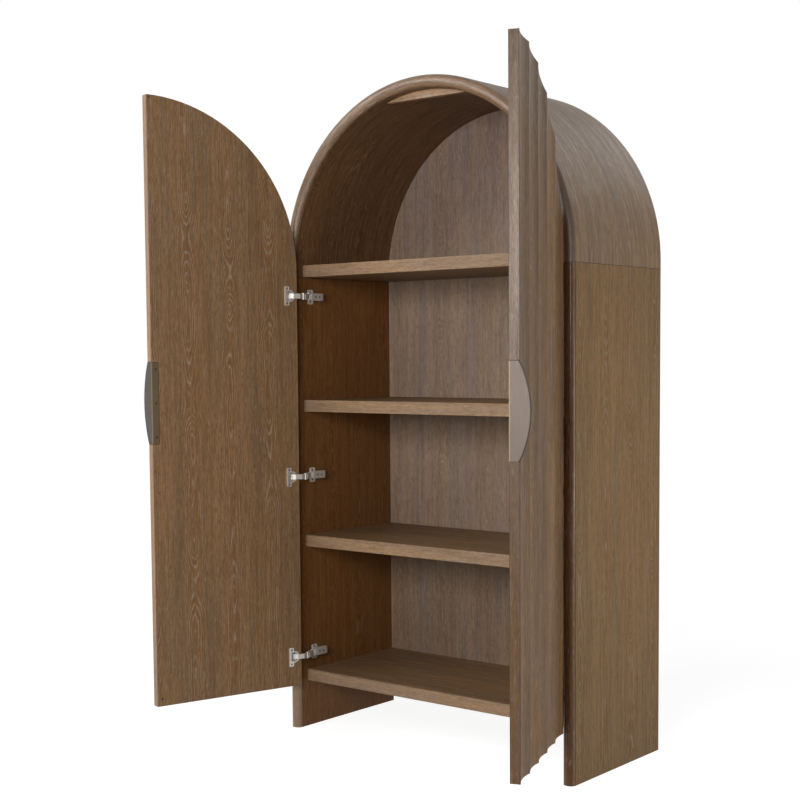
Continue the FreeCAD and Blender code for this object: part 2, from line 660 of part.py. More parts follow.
def make_hinges():
    """Every hinge piece, closed and on the left, by the body that it moves with."""
    wall_holes = at_hinges([screw_hole(h, (-1, 0, 0), WING_SCREW_LENGTH) for h in wing_screw_heads()])
    x, y, _ = cup_centre()
    bores = at_hinges([rod(CUP_RADIUS + FIT, (x, y, 0), (0, -1, 0), CUP_DEPTH + FIT)])
    bores += at_hinges([screw_hole(h, (0, -1, 0), CUP_SCREW_LENGTH) for h in cup_screw_heads()])
    fixed = {
        "hinge_plates": at_hinges([make_plate()]),
        "hinge_plate_screws": at_hinges([screw(h, (-1, 0, 0), WING_SCREW_LENGTH) for h in wing_screw_heads()]),
        "hinge_arms": at_hinges([make_arm()]),
        "hinge_arm_pins": at_hinges([pin(at_wall(ARM_PIVOT_X, ARM_PIVOT_Y), ARM_OUTSIDE)]),
        "hinge_arm_screws": at_hinges(make_arm_screws()),
    }
    on_door = {
        "hinge_cups": at_hinges([make_cup()]),
        "hinge_cup_pins": at_hinges([pin(cup_pivot(), cup_pin_half())]),
        "hinge_cup_screws": at_hinges([screw(h, (0, -1, 0), CUP_SCREW_LENGTH) for h in cup_screw_heads()]),
    }
    links = {
        "hinge_links": at_hinges([make_link()]),
        "hinge_link_pins": at_hinges([pin(link_end(), LINK_OUTSIDE)]),
    }
    straps = {"hinge_straps": at_hinges([make_strap()])}
    return {"wall_holes": wall_holes, "bores": bores, "fixed": fixed, "door": on_door,
            "links": links, "straps": straps}


def pose_side(parts, side, door, hinges, opening):
    """Write one side's door and hinges into the parts, opened by the given angle."""
    hand = mirrored if side == "right" else (lambda shape: shape)
    swing = -opening
    axis, arm = axis_point(), at_wall(ARM_PIVOT_X, ARM_PIVOT_Y)
    start = Part.Vertex(Vector(*cup_pivot()))
    end = turned(start, axis, swing)
    shift = tuple(end.Point - start.Point)
    for name, shape in door.items():
        parts[name + "_" + side] = hand(turned(shape, axis, swing))
    for name, solids in hinges["door"].items():
        parts[name + "_" + side] = hand(turned(Part.makeCompound(solids), axis, swing))
    for name, solids in hinges["fixed"].items():
        parts[name + "_" + side] = hand(Part.makeCompound(solids))
    for name, solids in hinges["links"].items():
        parts[name + "_" + side] = hand(turned(Part.makeCompound(solids), arm, swing))
    for name, solids in hinges["straps"].items():
        parts[name + "_" + side] = hand(moved(Part.makeCompound(solids), shift))


def main():
    parts = {}
    hinges = make_hinges()
    make_carcass(parts, hinges["wall_holes"])
    door = make_door()
    door["door_core"] = cut_all(door["door_core"], hinges["bores"])
    pose_side(parts, "left", door, hinges, LEFT_ANGLE_DEG)
    pose_side(parts, "right", door, hinges, RIGHT_ANGLE_DEG)
    os.makedirs("parts", exist_ok=True)
    for name, shape in parts.items():
        moved(shape, (0, -DEPTH / 2, 0)).exportStep("parts/" + name + ".step")


main()
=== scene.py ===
import json
import math

import bmesh
import bpy
from mathutils import Matrix, Vector

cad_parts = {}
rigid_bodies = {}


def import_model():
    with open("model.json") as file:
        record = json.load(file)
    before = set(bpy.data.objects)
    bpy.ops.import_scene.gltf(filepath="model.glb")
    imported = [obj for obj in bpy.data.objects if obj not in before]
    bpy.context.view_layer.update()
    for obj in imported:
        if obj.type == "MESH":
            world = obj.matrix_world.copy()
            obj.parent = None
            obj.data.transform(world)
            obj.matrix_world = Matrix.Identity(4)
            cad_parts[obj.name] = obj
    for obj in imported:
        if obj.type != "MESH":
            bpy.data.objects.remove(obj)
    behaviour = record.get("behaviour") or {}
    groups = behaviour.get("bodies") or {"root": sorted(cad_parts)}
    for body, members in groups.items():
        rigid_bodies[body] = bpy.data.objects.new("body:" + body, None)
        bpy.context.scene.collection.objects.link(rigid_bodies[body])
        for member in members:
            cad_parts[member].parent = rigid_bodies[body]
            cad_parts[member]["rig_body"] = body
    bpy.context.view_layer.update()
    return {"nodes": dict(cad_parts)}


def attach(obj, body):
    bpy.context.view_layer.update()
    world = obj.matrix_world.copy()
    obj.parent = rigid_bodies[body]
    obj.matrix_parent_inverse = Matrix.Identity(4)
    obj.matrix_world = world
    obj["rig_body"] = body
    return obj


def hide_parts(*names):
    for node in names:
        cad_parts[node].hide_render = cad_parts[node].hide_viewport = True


# Arched oak cabinet. Metres, +Z up, the front faces -Y.

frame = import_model()
nodes = frame["nodes"]

# Carcass
FRONT_Y = -0.2475
WALL = 0.038
INNER_R = 0.521
SPRING_Z = 1.522
SEAM_Z = 1.497
LIPPING_DEEP = 0.017

# Doors. For each side: which way along X the middle lies, and the degrees that its door stands open
SIDES = {"left": (1, 106.5), "right": (-1, 111.0)}
STAVES = 5
STAVE = 0.1014
PULL_Z = 1.097
PULL_HEIGHT = 0.254
PULL_REACH = 0.030

# Screws
SHANK = 0.0017
HEAD_DEPTH = 0.002
ARM_SCREW_SHOULDER = 0.0012
POINT_SHORT = 0.0003
CIRCLE_STEPS = 24

# Edges of the flat boards
EASE = 0.0008
EASED = ("side_panel", "shelf_lippings", "bottom_board", "lower_shelf", "middle_shelf", "top_shelf",
         "door_core", "door_edge", "door_stop")


def out_of_door(side):
    """Direction in which the inner face of an open door looks."""
    sign, angle = SIDES[side]
    return Vector((sign * math.sin(math.radians(angle)), math.cos(math.radians(angle)), 0))


def span(name, axis, turn=0.0):
    """Lowest and highest place of a node along one axis, after a turn about Z."""
    spin = Matrix.Rotation(math.radians(turn), 3, "Z")
    places = [(spin @ vertex.co)["xyz".index(axis)] for vertex in nodes[name].data.vertices]
    return min(places), max(places)


# Building materials


class Tree:
    """Short names for the nodes of one material."""

    def __init__(self, name):
        self.material = bpy.data.materials.new(name)
        self.material.use_nodes = True
        self.nodes = self.material.node_tree.nodes
        self.links = self.material.node_tree.links
        self.shader = self.nodes["Principled BSDF"]

    def add(self, kind, inputs, **settings):
        node = self.nodes.new(kind)
        for key, value in settings.items():
            setattr(node, key, value)
        for key, value in inputs.items():
            self.feed(node.inputs[key], value)
        return node

    def feed(self, socket, value):
        if isinstance(value, bpy.types.NodeSocket):
            self.links.new(value, socket)
        else:
            socket.default_value = value

    def math(self, operation, *values):
        return self.add("ShaderNodeMath", dict(enumerate(values)), operation=operation).outputs[0]

    def plus(self, a, b):
        return self.math("ADD", a, b)

    def minus(self, a, b):
        return self.math("SUBTRACT", a, b)

    def times(self, a, b):
        return self.math("MULTIPLY", a, b)

    def size(self, a):
        return self.math("ABSOLUTE", a)

    def length(self, a, b):
        return self.math("SQRT", self.plus(self.times(a, a), self.times(b, b)))

    def ramp(self, value, low, high, to_low=0.0, to_high=1.0, kind="SMOOTHSTEP"):
        inputs = {0: value, 1: low, 2: high, 3: to_low, 4: to_high}
        return self.add("ShaderNodeMapRange", inputs, interpolation_type=kind).outputs[0]

    def vector(self, x, y, z):
        return self.add("ShaderNodeCombineXYZ", {0: x, 1: y, 2: z}).outputs[0]

    def noise(self, vector, scale=1.0, detail=2.0, rough=0.5):
        inputs = {"Vector": vector, "Scale": scale, "Detail": detail, "Roughness": rough}
        return self.add("ShaderNodeTexNoise", inputs).outputs["Fac"]

    def random(self, value):
        return self.add("ShaderNodeTexWhiteNoise", {"W": value}, noise_dimensions="1D").outputs["Value"]

    def blend(self, factor, a, b, mode="MIX"):
        node = self.nodes.new("ShaderNodeMix")
        node.data_type = "RGBA"
        node.blend_type = mode
        self.feed(node.inputs[0], factor)
        for socket, value in ((node.inputs[6], a), (node.inputs[7], b)):
            self.feed(socket, value if isinstance(value, bpy.types.NodeSocket) else (*value, 1.0))
        return node.outputs[2]

    def place(self, turn=0.0):
        """X, Y and Z of the point on the object, after a turn about Z."""
        where = self.add("ShaderNodeTexCoord", {}).outputs["Object"]
        if turn:
            inputs = {"Vector": where, "Angle": math.radians(turn)}
            where = self.add("ShaderNodeVectorRotate", inputs, rotation_type="Z_AXIS").outputs[0]
        split = self.add("ShaderNodeSeparateXYZ", {0: where})
        return split.outputs[0], split.outputs[1], split.outputs[2]

    def dark_lines(self, colour, axes, marks):
        """Dark lines across the colour: (axis, place, half width, strength)."""
        for axis, centre, half, strength in marks:
            distance = self.size(self.minus(axes[axis], centre))
            there = self.times(self.math("LESS_THAN", distance, half), strength)
            colour = self.blend(there, colour, DARK_LINE)
        return colour

    def finish(self, colour, rough, solid, shine, height, distance, strength):
        """Feed the shader: base colour, roughness, metal or not, reflection at right angles, and bump."""
        self.feed(self.shader.inputs["Base Color"], colour)
        self.feed(self.shader.inputs["Roughness"], rough)
        self.shader.inputs["Metallic"].default_value = solid
        self.shader.inputs["Specular IOR Level"].default_value = shine
        bump = self.add("ShaderNodeBump", {"Height": height, "Distance": distance, "Strength": strength})
        self.links.new(bump.outputs[0], self.shader.inputs["Normal"])
        return self.material


def shift(colour, factors):
    return [c * f for c, f in zip(colour, factors)]


def grey(factor):
    return [factor] * 3


DARK_LINE = (0.012, 0.007, 0.004)


# Oak

ARCH_MIDDLE = INNER_R + WALL / 2
DEPTH_AXIS = {"front": "y", "side": "x", "board": "z"}

# Tones of the grain, as factors of the ground colour
DARK_PORES = (0.42, 0.36, 0.31)
AMBER_RINGS = (0.92, 0.70, 0.42)
COOL_BAND = (-0.11, -0.09, -0.03)
WARM_BAND = (0.11, 0.04, -0.07)

# Pale filler in the open grain, and how much of it shows
FILLER = (0.44, 0.375, 0.32)
FILLER_SHARE = 0.45

RING_SPACING = 0.0086
HEART_SWAY = 0.05
HEART_DEPTH = 0.40
RING_STRETCH = 1.45


class Veneer(Tree):
    """Oak veneer in leaves side by side, with the places that its grain is drawn from.

    run is how the grain lies: front and side are upright, board runs along X, and arch is bent round the
    arch. level is the depth at which the leaves were cut, and start is a place where two of them meet.
    """

    def __init__(self, name, run, turn, level, start, seed, leaf):
        super().__init__(name)
        self.seed = seed
        axes = self.place(turn)
        across, depth, along = self.grain_axes(run, axes)
        self.depth = self.minus(depth, level)
        self.axes = dict(zip("xyz", axes), depth=depth)
        self.across = self.plus(across, 7.3 + seed * 0.37)
        count = self.plus(self.times(self.minus(across, start), 1.0 / leaf), 50.0)
        self.number = self.math("FLOOR", count)
        self.from_middle = self.times(self.minus(self.math("FRACT", count), 0.5), leaf)
        self.chance = self.random(self.plus(self.number, seed * 11.0))
        self.along = self.plus(along, self.times(self.chance, 9.0))

    def grain_axes(self, run, axes):
        """(across, depth, along) of the board under the point."""
        x, y, z = axes
        if run == "front":
            return x, y, z
        if run == "side":
            return y, x, z
        if run == "board":
            return y, z, x
        rise = self.minus(z, SPRING_Z)
        angle = self.math("ARCTAN2", self.math("MAXIMUM", rise, 0.0), x)
        return y, self.length(x, rise), self.times(angle, ARCH_MIDDLE)

    def field(self, wide, long, detail=2.0, rough=0.5):
        """Noise with so many cells in a metre across the grain and along it."""
        place = (self.times(self.across, wide), self.times(self.depth, wide), self.times(self.along, long))
        return self.noise(self.vector(*place), 1.0, detail, rough)

    def rings(self, figure):
        """(pale line, space between two lines). Near the heart of a leaf the rings close into arches."""
        plus, minus, times, ramp = self.plus, self.minus, self.times, self.ramp
        sway = minus(self.noise(self.vector(self.number, self.seed, times(self.along, 0.9)), 1.0, 1.0), 0.5)
        aside = plus(self.from_middle, times(sway, HEART_SWAY))
        log = self.vector(plus(self.number, 31.0), self.seed, times(self.along, 1.6))
        slope = minus(self.noise(log, 1.0, 2.0, 0.45), 0.5)
        heart = plus(times(slope, HEART_DEPTH * figure), self.depth)
        ring = times(self.length(times(aside, RING_STRETCH), heart), 1.0 / RING_SPACING)
        ring = plus(ring, times(self.field(27.0, 5.0), 2.2))
        ring = plus(ring, times(self.field(140.0, 26.0), 0.5))
        each = self.random(plus(self.math("FLOOR", plus(ring, 0.5)), times(self.number, 17.0)))
        away = self.size(minus(self.math("FRACT", ring), 0.5))
        near = ramp(self.size(aside), 0.050, 0.016, 0.10, 1.0)
        broken = ramp(self.field(80.0, 14.0), 0.38, 0.55, 0.10, 1.0)
        line = times(times(ramp(away, 0.31, 0.46), plus(times(each, 0.8), 0.2)), times(near, broken))
        return line, times(ramp(away, 0.40, 0.10), near)

    def shade(self, colour, tints, shades):
        for axis, low, high, tint in tints:
            place = self.axes[axis]
            inside = self.times(self.math("GREATER_THAN", place, low), self.math("LESS_THAN", place, high))
            colour = self.blend(inside, colour, tint, "MULTIPLY")
        for axis, low, high, tint in shades:
            colour = self.blend(self.ramp(self.axes[axis], low, high), colour, tint, "MULTIPLY")
        return colour


def oak(name, ground, run, turn=0.0, level=0.0, start=0.0, seed=0.0, leaf=0.14, figure=1.0, filler=0.7,
        rough=0.5, shine=0.14, vary=0.16, banding=1.0, grain=1.0, relief=0.5, marks=(), tints=(), shades=()):
    """Wire-brushed stained oak with pale filler in the open grain.

    figure is how far the heart of the log wanders along a leaf, and vary is the difference between leaves.
    banding is the strength of the cool and warm bands, grain that of the streaks and fibres, and relief is
    the height of the fibres. marks are dark lines (axis, place, half width, strength), tints are (axis, low,
    high, colour), and shades change slowly from one place to another: (axis, from, to, colour).
    """
    tree = Veneer(name, run, turn, level, start, seed, leaf)
    field, times, ramp = tree.field, tree.times, tree.ramp
    pale = [(1 - FILLER_SHARE) * c + FILLER_SHARE * p for c, p in zip(ground, FILLER)]
    dark, amber = shift(ground, DARK_PORES), shift(ground, AMBER_RINGS)
    cool, warm = (shift(ground, [1 + banding * c for c in band]) for band in (COOL_BAND, WARM_BAND))
    line, between = tree.rings(figure)
    bands = field(26.0, 1.6, 3.0, 0.6)
    streaks = field(120.0, 5.0, 3.0, 0.65)
    fibres = field(330.0, 32.0, 3.0, 0.7)
    pores = ramp(field(800.0, 60.0), 0.55, 0.68, 0.0, 0.70)
    fleck = field(260.0, 30.0, 1.0)
    layers = (
        (ramp(tree.chance, 0.0, 1.0, 0.0, vary), dark),
        (times(between, 0.5), amber),
        (ramp(streaks, 0.46, 0.66, 0.0, 0.30 * grain), dark),
        (ramp(streaks, 0.50, 0.32, 0.0, 0.10 * grain), pale),
        (ramp(fibres, 0.46, 0.62, 0.0, 0.36 * grain), dark),
        (ramp(fibres, 0.44, 0.30, 0.0, 0.16 * grain), pale),
        (times(line, filler), pale),
        (ramp(fleck, 0.66, 0.74, 0.0, filler * 0.45), pale),
        (pores, dark))
    colour = tree.blend(ramp(bands, 0.36, 0.64), cool, warm)
    for amount, tone in layers:
        colour = tree.blend(amount, colour, tone)
    colour = tree.shade(colour, tints, shades)
    colour = tree.dark_lines(colour, tree.axes, marks)
    dullness = ramp(streaks, 0.3, 0.7, rough - 0.05, rough + 0.07, "LINEAR")
    height = tree.minus(times(fibres, relief), pores)
    return tree.finish(colour, dullness, 0.0, shine, height, 0.0002, 0.6)


# Metal

# Brushing: cells in a metre across the lines and along them
BRUSHED_ACROSS = 2200.0
BRUSHED_ALONG = 40.0

# Pull: painted shade on the bevel of the half-moon, painted highlight on the bend between it and the strip,
# sheet of the half-moon, painted shadow outlines
BEVEL = 0.0040
BEND = 0.0032
HALF_MOON_SHEET = 0.0024
SHADOW_GAP_WIDTH = 0.0016
# Light tone on the bend: painted highlight
PAINTED_BEND_HIGHLIGHT = (0.24, 0.17, 0.11)


class Metal(Tree):
    """Plated or browned metal with fine upright brushing and a slightly uneven tone."""

    def __init__(self, name, colour, turn=0.0, patches=0.06):
        super().__init__(name)
        self.x, self.y, self.z = self.place(turn)
        across = [self.times(place, BRUSHED_ACROSS) for place in (self.x, self.y)]
        self.lines = self.noise(self.vector(*across, self.times(self.z, BRUSHED_ALONG)))
        self.height = self.times(self.lines, 0.02)
        self.ground = colour
        cloud = self.ramp(self.noise(self.vector(self.x, self.y, self.z), 22.0), 0.3, 0.7)
        uneven = self.blend(cloud, shift(colour, grey(1 - patches)), shift(colour, grey(1 + patches)))
        brushed = self.ramp(self.lines, 0.35, 0.65, 0.0, 0.2)
        self.colour = self.blend(brushed, uneven, shift(colour, grey(0.6)))

    def half_moon(self, corner, tint):
        """The flange square to X, painted in another tone: painted shade and painted reflection."""
        there = self.math("LESS_THAN", self.size(self.minus(self.x, corner)), HALF_MOON_SHEET)
        self.colour = self.blend(there, self.colour, tint, "MULTIPLY")

    def bevel(self, middle_y, middle_z, radius):
        """Bevel along an arc in the YZ plane, painted dark as painted shade and sloped in the bump."""
        reach = self.length(self.minus(self.z, middle_z), self.minus(self.y, middle_y))
        bevel_shade = self.ramp(reach, radius - BEVEL, radius - BEVEL * 0.7, 0.0, 0.75)
        self.colour = self.blend(bevel_shade, self.colour, shift(self.ground, grey(0.22)))
        self.height = self.plus(self.height, self.ramp(reach, radius - BEVEL, radius, 1.6, 0.0, "LINEAR"))

    def bend(self, x, y):
        """Corner along Z with a painted highlight."""
        reach = self.length(self.minus(self.x, x), self.minus(self.y, y))
        self.colour = self.blend(self.ramp(reach, BEND, BEND * 0.6, 0.0, 0.7), self.colour, PAINTED_BEND_HIGHLIGHT)

    def done(self, rough, solid, shine):
        dullness = self.ramp(self.lines, 0.3, 0.7, rough - 0.05, rough + 0.08)
        return self.finish(self.colour, dullness, solid, shine, self.height, 0.001, 0.8)


def metal(name, colour, rough, solid=1.0, shine=0.5):
    return Metal(name, colour).done(rough, solid, shine)


def metal_pull(side, turn, colour, half_moon_painted_shade):
    """Browned pull: painted shade on the bevel along the curve of the half-moon, painted highlight on the
    bend, painted shadow outlining the strip.
    """
    tree = Metal("gunmetal " + side, colour, turn, patches=0.03)
    reach, half = PULL_REACH, PULL_HEIGHT / 2
    radius = (half * half + reach * reach) / (2 * reach)
    front, inner = span("door_pull_" + side, "y", turn)
    ends = span("door_pull_" + side, "x", turn)
    corner, edge = reversed(ends) if side == "left" else ends
    tree.half_moon(corner, half_moon_painted_shade)
    tree.bevel(front + radius, PULL_Z, radius)
    tree.bend(corner, inner)
    # Painted shadow along the ends and the free edge of the strip
    shadow_gaps = [("z", PULL_Z + half), ("z", PULL_Z - half), ("x", edge)]
    axes = {"x": tree.x, "z": tree.z}
    tree.colour = tree.dark_lines(tree.colour, axes, [(*line, SHADOW_GAP_WIDTH, 0.7) for line in shadow_gaps])
    return tree.done(0.45, solid=0.2, shine=0.18)


# Ground colours
ARCH_OAK = (0.190, 0.118, 0.056)
SIDE_OAK = (0.183, 0.112, 0.047)
DOOR_IN = (0.194, 0.118, 0.060)
DEEP = (0.180, 0.112, 0.058)
GREYED = (0.230, 0.170, 0.130)
EDGES = (0.215, 0.143, 0.088)
STOP_OAK = (0.33, 0.215, 0.130)
# The two door edges are one wood: the left painted lighter and the right darker, as painted light and shade
DOOR_EDGES_PAINTED_LIT_AND_SHADED = {"left": (0.260, 0.158, 0.090), "right": (0.092, 0.051, 0.024)}
BEECH = (0.50, 0.34, 0.20)
FLUTED = (0.175, 0.108, 0.052)
LEFT_NOSE = (0.160, 0.095, 0.045)
ARCH_NOSE = (0.172, 0.103, 0.055)
# The right nose is much darker than the left one: painted shadow of the right door
RIGHT_NOSE_IN_PAINTED_SHADOW = (0.090, 0.042, 0.016)
# Gunmetal toned per pull: the left is warmer and browner, with painted reflection of the wood and painted
# light
GUNMETAL_WITH_PAINTED_LIGHT = {"left": (0.115, 0.083, 0.048), "right": (0.105, 0.081, 0.065)}
NICKEL = (0.86, 0.83, 0.78)
SATIN_NICKEL = (0.58, 0.55, 0.51)
PULL_SCREW = (0.045, 0.042, 0.042)
ZINC = (0.60, 0.58, 0.54)
MAGNET = (0.10, 0.11, 0.125)
STEEL = (0.20, 0.19, 0.18)
STRIKE = (0.030, 0.030, 0.038)

# Tones that multiply a ground colour in one place: painted shade, painted highlight and painted reflection
# Inner faces of the side walls painted darker and redder: painted shade inside the cabinet
PAINTED_SHADE_INSIDE_SIDES = (0.85, 0.62, 0.46)
# Inner face of the arch painted darker: painted shade inside the cabinet
PAINTED_SHADE_INSIDE_ARCH = (0.69, 0.56, 0.48)
# Right part of the arch nose painted darker: painted shadow of the right door
PAINTED_SHADOW_RIGHT_OF_ARCH_NOSE = (0.56, 0.44, 0.36)
# Back panel painted darker towards the bottom and towards the top: painted shade
PAINTED_SHADE_LOW_BACK = (0.74, 0.72, 0.68)
PAINTED_SHADE_HIGH_BACK = (0.80, 0.80, 0.86)
# Bright line along the right nose: painted highlight
PAINTED_HIGHLIGHT_LINE = (1.8, 2.3, 2.9)
# Half-moon of the left pull painted darker and bluer than its strip: painted shade and painted reflection
HALF_MOON_PAINTED_SHADE = {"left": (0.52, 0.62, 0.92), "right": (1.0, 1.0, 1.0)}

# Dark lines: axis, place, half width and strength, or only the last two
SEAM = ("z", SEAM_Z, 0.0009, 0.85)
GLUE = ("y", FRONT_Y + LIPPING_DEEP, 0.0008, 0.7)
CREST_LINE = (0.0007, 0.55)
EDGE_LINE = (0.0008, 0.6)


def paint(name, material):
    """Give a carried-over node its material."""
    mesh = nodes[name].data
    mesh.materials.clear()
    mesh.materials.append(material)


def veneer(name, ground, run, turn=0.0, **look):
    """Oak on one node, with the leaves cut at the middle of its thickness."""
    level = ARCH_MIDDLE if run == "arch" else sum(span(name, DEPTH_AXIS[run], turn)) / 2
    paint(name, oak("oak " + name.replace("_", " "), ground, run, turn, level, **look))


# Carcass
solid_oak = {"leaf": 0.4, "figure": 0.3}
wall_face = INNER_R + 0.0005
arch_face = INNER_R + 0.0008
# The inner faces of the side panels get painted shade
veneer("side_panel_left", SIDE_OAK, "side", seed=1, filler=0.4, marks=[SEAM, GLUE],
       tints=[("x", -wall_face, -0.4, PAINTED_SHADE_INSIDE_SIDES)])
veneer("side_panel_right", SIDE_OAK, "side", seed=2, filler=0.4, marks=[SEAM, GLUE],
       tints=[("x", 0.4, wall_face, PAINTED_SHADE_INSIDE_SIDES)])
veneer("side_lipping_left", LEFT_NOSE, "side", seed=3, rough=0.32, shine=0.6, marks=[SEAM], **solid_oak)
# The right nose is painted in shadow
veneer("side_lipping_right", RIGHT_NOSE_IN_PAINTED_SHADOW, "side", seed=4, rough=0.2, shine=0.15, marks=[SEAM],
       # a painted highlight line runs along the nose
       tints=[("y", FRONT_Y + 0.0065, FRONT_Y + 0.0135, PAINTED_HIGHLIGHT_LINE)], **solid_oak)
# The inner face of the arch gets painted shade
veneer("arch_shell", ARCH_OAK, "arch", seed=5, filler=0.45, shine=0.3, relief=4.0, grain=1.8,
       marks=[SEAM, GLUE], tints=[("depth", 0.4, arch_face, PAINTED_SHADE_INSIDE_ARCH)])
# The right part of the arch nose fades into painted shadow
veneer("arch_lipping", ARCH_NOSE, "arch", seed=6, grain=2.0, rough=0.38, shine=0.5, marks=[SEAM],
       shades=[("x", 0.30, 0.46, PAINTED_SHADOW_RIGHT_OF_ARCH_NOSE)], **solid_oak)
# The back panel gets painted shade low down and high up
veneer("back_panel", GREYED, "front", seed=7, leaf=0.19, filler=0.3,
       shades=[("z", 0.95, 0.25, PAINTED_SHADE_LOW_BACK), ("z", 1.35, 1.80, PAINTED_SHADE_HIGH_BACK)])
for index, board in enumerate(("bottom_board", "lower_shelf", "middle_shelf", "top_shelf")):
    veneer(board, DEEP, "board", seed=8 + index, leaf=0.2, filler=0.3)
veneer("shelf_lippings", EDGES, "board", seed=12, leaf=0.3, figure=0.3, filler=0.3)
veneer("door_stop", STOP_OAK, "board", seed=13, leaf=0.3, figure=0.3)

# Doors
for side, (sign, angle) in SIDES.items():
    turn = sign * angle
    veneer("door_core_" + side, DOOR_IN, "front", turn, seed=14 + sign)
    hinge_side = span("door_staves_" + side, "x", turn)[sign > 0]
    crests = [("x", hinge_side - sign * step * STAVE, *CREST_LINE) for step in range(1, STAVES)]
    veneer("door_staves_" + side, FLUTED, "front", turn, start=hinge_side, seed=17 + sign, leaf=STAVE,
           vary=0.4, banding=3.0, relief=2.5, grain=1.5, marks=crests)
    outer, inner = span("door_edge_" + side, "y", turn)
    joints = [("y", place, *EDGE_LINE) for place in (outer + EDGE_LINE[0], inner - EDGE_LINE[0])]
    # each door edge gets its painted light or shade
    veneer("door_edge_" + side, DOOR_EDGES_PAINTED_LIT_AND_SHADED[side], "front", turn, seed=20 + sign, rough=0.32, shine=0.2,
           marks=joints, **solid_oak)

# Fittings
nickel = metal("nickel", NICKEL, 0.3, solid=0.7)
satin = metal("satin nickel", SATIN_NICKEL, 0.5, solid=0.62)
pull_screw = metal("pull screw", PULL_SCREW, 0.3, solid=0.6)
zinc = metal("zinc", ZINC, 0.35)
magnet = metal("magnet", MAGNET, 0.4, solid=0.4)
steel = metal("steel", STEEL, 0.3, solid=0.8)
strike = metal("strike", STRIKE, 0.4, solid=0.2, shine=0.3)
beech = oak("beech", BEECH, "board", seed=30, leaf=0.3, filler=0.0)
fittings = {
    "hinge_cups": nickel, "hinge_cup_pins": steel, "hinge_cup_screws": steel,
    "hinge_plates": nickel, "hinge_plate_screws": steel,
    "hinge_arms": satin, "hinge_arm_pins": steel, "hinge_arm_screws": steel,
    "hinge_links": satin, "hinge_link_pins": steel, "hinge_straps": satin,
    "pull_screws": pull_screw, "strike_plates": strike}
for side, (sign, angle) in SIDES.items():
    paint("door_pull_" + side, metal_pull(side, sign * angle, GUNMETAL_WITH_PAINTED_LIGHT[side], HALF_MOON_PAINTED_SHADE[side]))
    for name, material in fittings.items():
        paint(name + "_" + side, material)
paint("catch_magnets", magnet)
paint("back_panel_screws", zinc)
for name in nodes:
    if "dowels" in name:
        paint(name, beech)


# Screws with cross recesses


def solids_of(name):
    """The corners of each loose solid in a node."""
    mesh = bmesh.new()
    mesh.from_mesh(nodes[name].data)
    bmesh.ops.remove_doubles(mesh, verts=mesh.verts, dist=1e-6)
    mesh.verts.index_update()
    seen, found = set(), []
    for first in mesh.verts:
        if first.index in seen:
            continue
        seen.add(first.index)
        corners, waiting = [], [first]
        while waiting:
            corner = waiting.pop()
            corners.append(corner.co.copy())
            for edge in corner.link_edges:
                other = edge.other_vert(corner)
                if other.index not in seen:
                    seen.add(other.index)
                    waiting.append(other)
        found.append(corners)
    mesh.free()
    return found


def circle(radius):
    turns = [math.tau * step / CIRCLE_STEPS for step in range(CIRCLE_STEPS)]
    return [(radius * math.cos(turn), radius * math.sin(turn)) for turn in turns]


def cross(reach, half):
    """The twelve corners of a cross."""
    arm = [(reach, -half), (reach, half), (half, half)]
    arms = []
    for _ in range(4):
        arms += arm
        arm = [(-y, x) for x, y in arm]
    return arms


def cross_screw(mesh, middle, out, radius, length, shoulder):
    """Screw with a cross recess. middle is on the face of its head, and out points away from the shank."""
    place = Matrix.Translation(middle) @ out.to_track_quat("Z", "Y").to_matrix().to_4x4()

    def loop(points, z):
        return [mesh.verts.new(place @ Vector((x, y, z))) for x, y in points]

    def wall(above, below):
        for n in range(len(above)):
            mesh.faces.new((above[n - 1], below[n - 1], below[n], above[n]))

    face = loop(circle(radius * 0.9), 0)
    recess = loop(cross(radius * 0.62, radius * 0.14), 0)
    floor = loop(cross(radius * 0.4, radius * 0.10), -radius * 0.45)
    for n in range(len(recess)):
        ring = [face[(2 * n - 1 - back) % CIRCLE_STEPS] for back in range(3)]
        mesh.faces.new([recess[n - 1], recess[n]] + ring)
    wall(floor, recess)
    mesh.faces.new(reversed(floor))
    steps = [face, loop(circle(radius * 0.99), -radius * 0.08)]
    if shoulder:
        steps.append(loop(circle(radius * 0.99), -shoulder))
    steps.append(loop(circle(SHANK), -max(shoulder, HEAD_DEPTH)))
    steps.append(loop(circle(SHANK), POINT_SHORT - length))
    for above, below in zip(steps, steps[1:]):
        wall(above, below)
    mesh.faces.new(reversed(steps[-1]))


def cross_screws(node, out, material, shoulder=0.0):
    """One piece with the screws of a node, in the same places and with cross recesses."""
    mesh = bmesh.new()
    for corners in solids_of(node):
        heights = [corner.dot(out) for corner in corners]
        rim = [corner for corner, height in zip(corners, heights) if height > max(heights) - 1e-5]
        middle = sum(rim, Vector()) / len(rim)
        radius = max((corner - middle).length for corner in rim)
        cross_screw(mesh, middle, out, radius, max(heights) - min(heights), shoulder)
    bmesh.ops.recalc_face_normals(mesh, faces=mesh.faces)
    data = bpy.data.meshes.new("cross_" + node)
    mesh.to_mesh(data)
    mesh.free()
    data.materials.append(material)
    piece = bpy.data.objects.new("cross_" + node, data)
    bpy.context.collection.objects.link(piece)
    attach(piece, nodes[node]["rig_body"])
    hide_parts(node)


for side, (sign, angle) in SIDES.items():
    from_wall, from_door = Vector((sign, 0, 0)), out_of_door(side)
    cross_screws("hinge_plate_screws_" + side, from_wall, steel)
    cross_screws("hinge_arm_screws_" + side, from_wall, steel, ARM_SCREW_SHOULDER)
    cross_screws("hinge_cup_screws_" + side, from_door, steel)
    cross_screws("pull_screws_" + side, from_door, pull_screw)
cross_screws("back_panel_screws", Vector((0, 1, 0)), zinc)

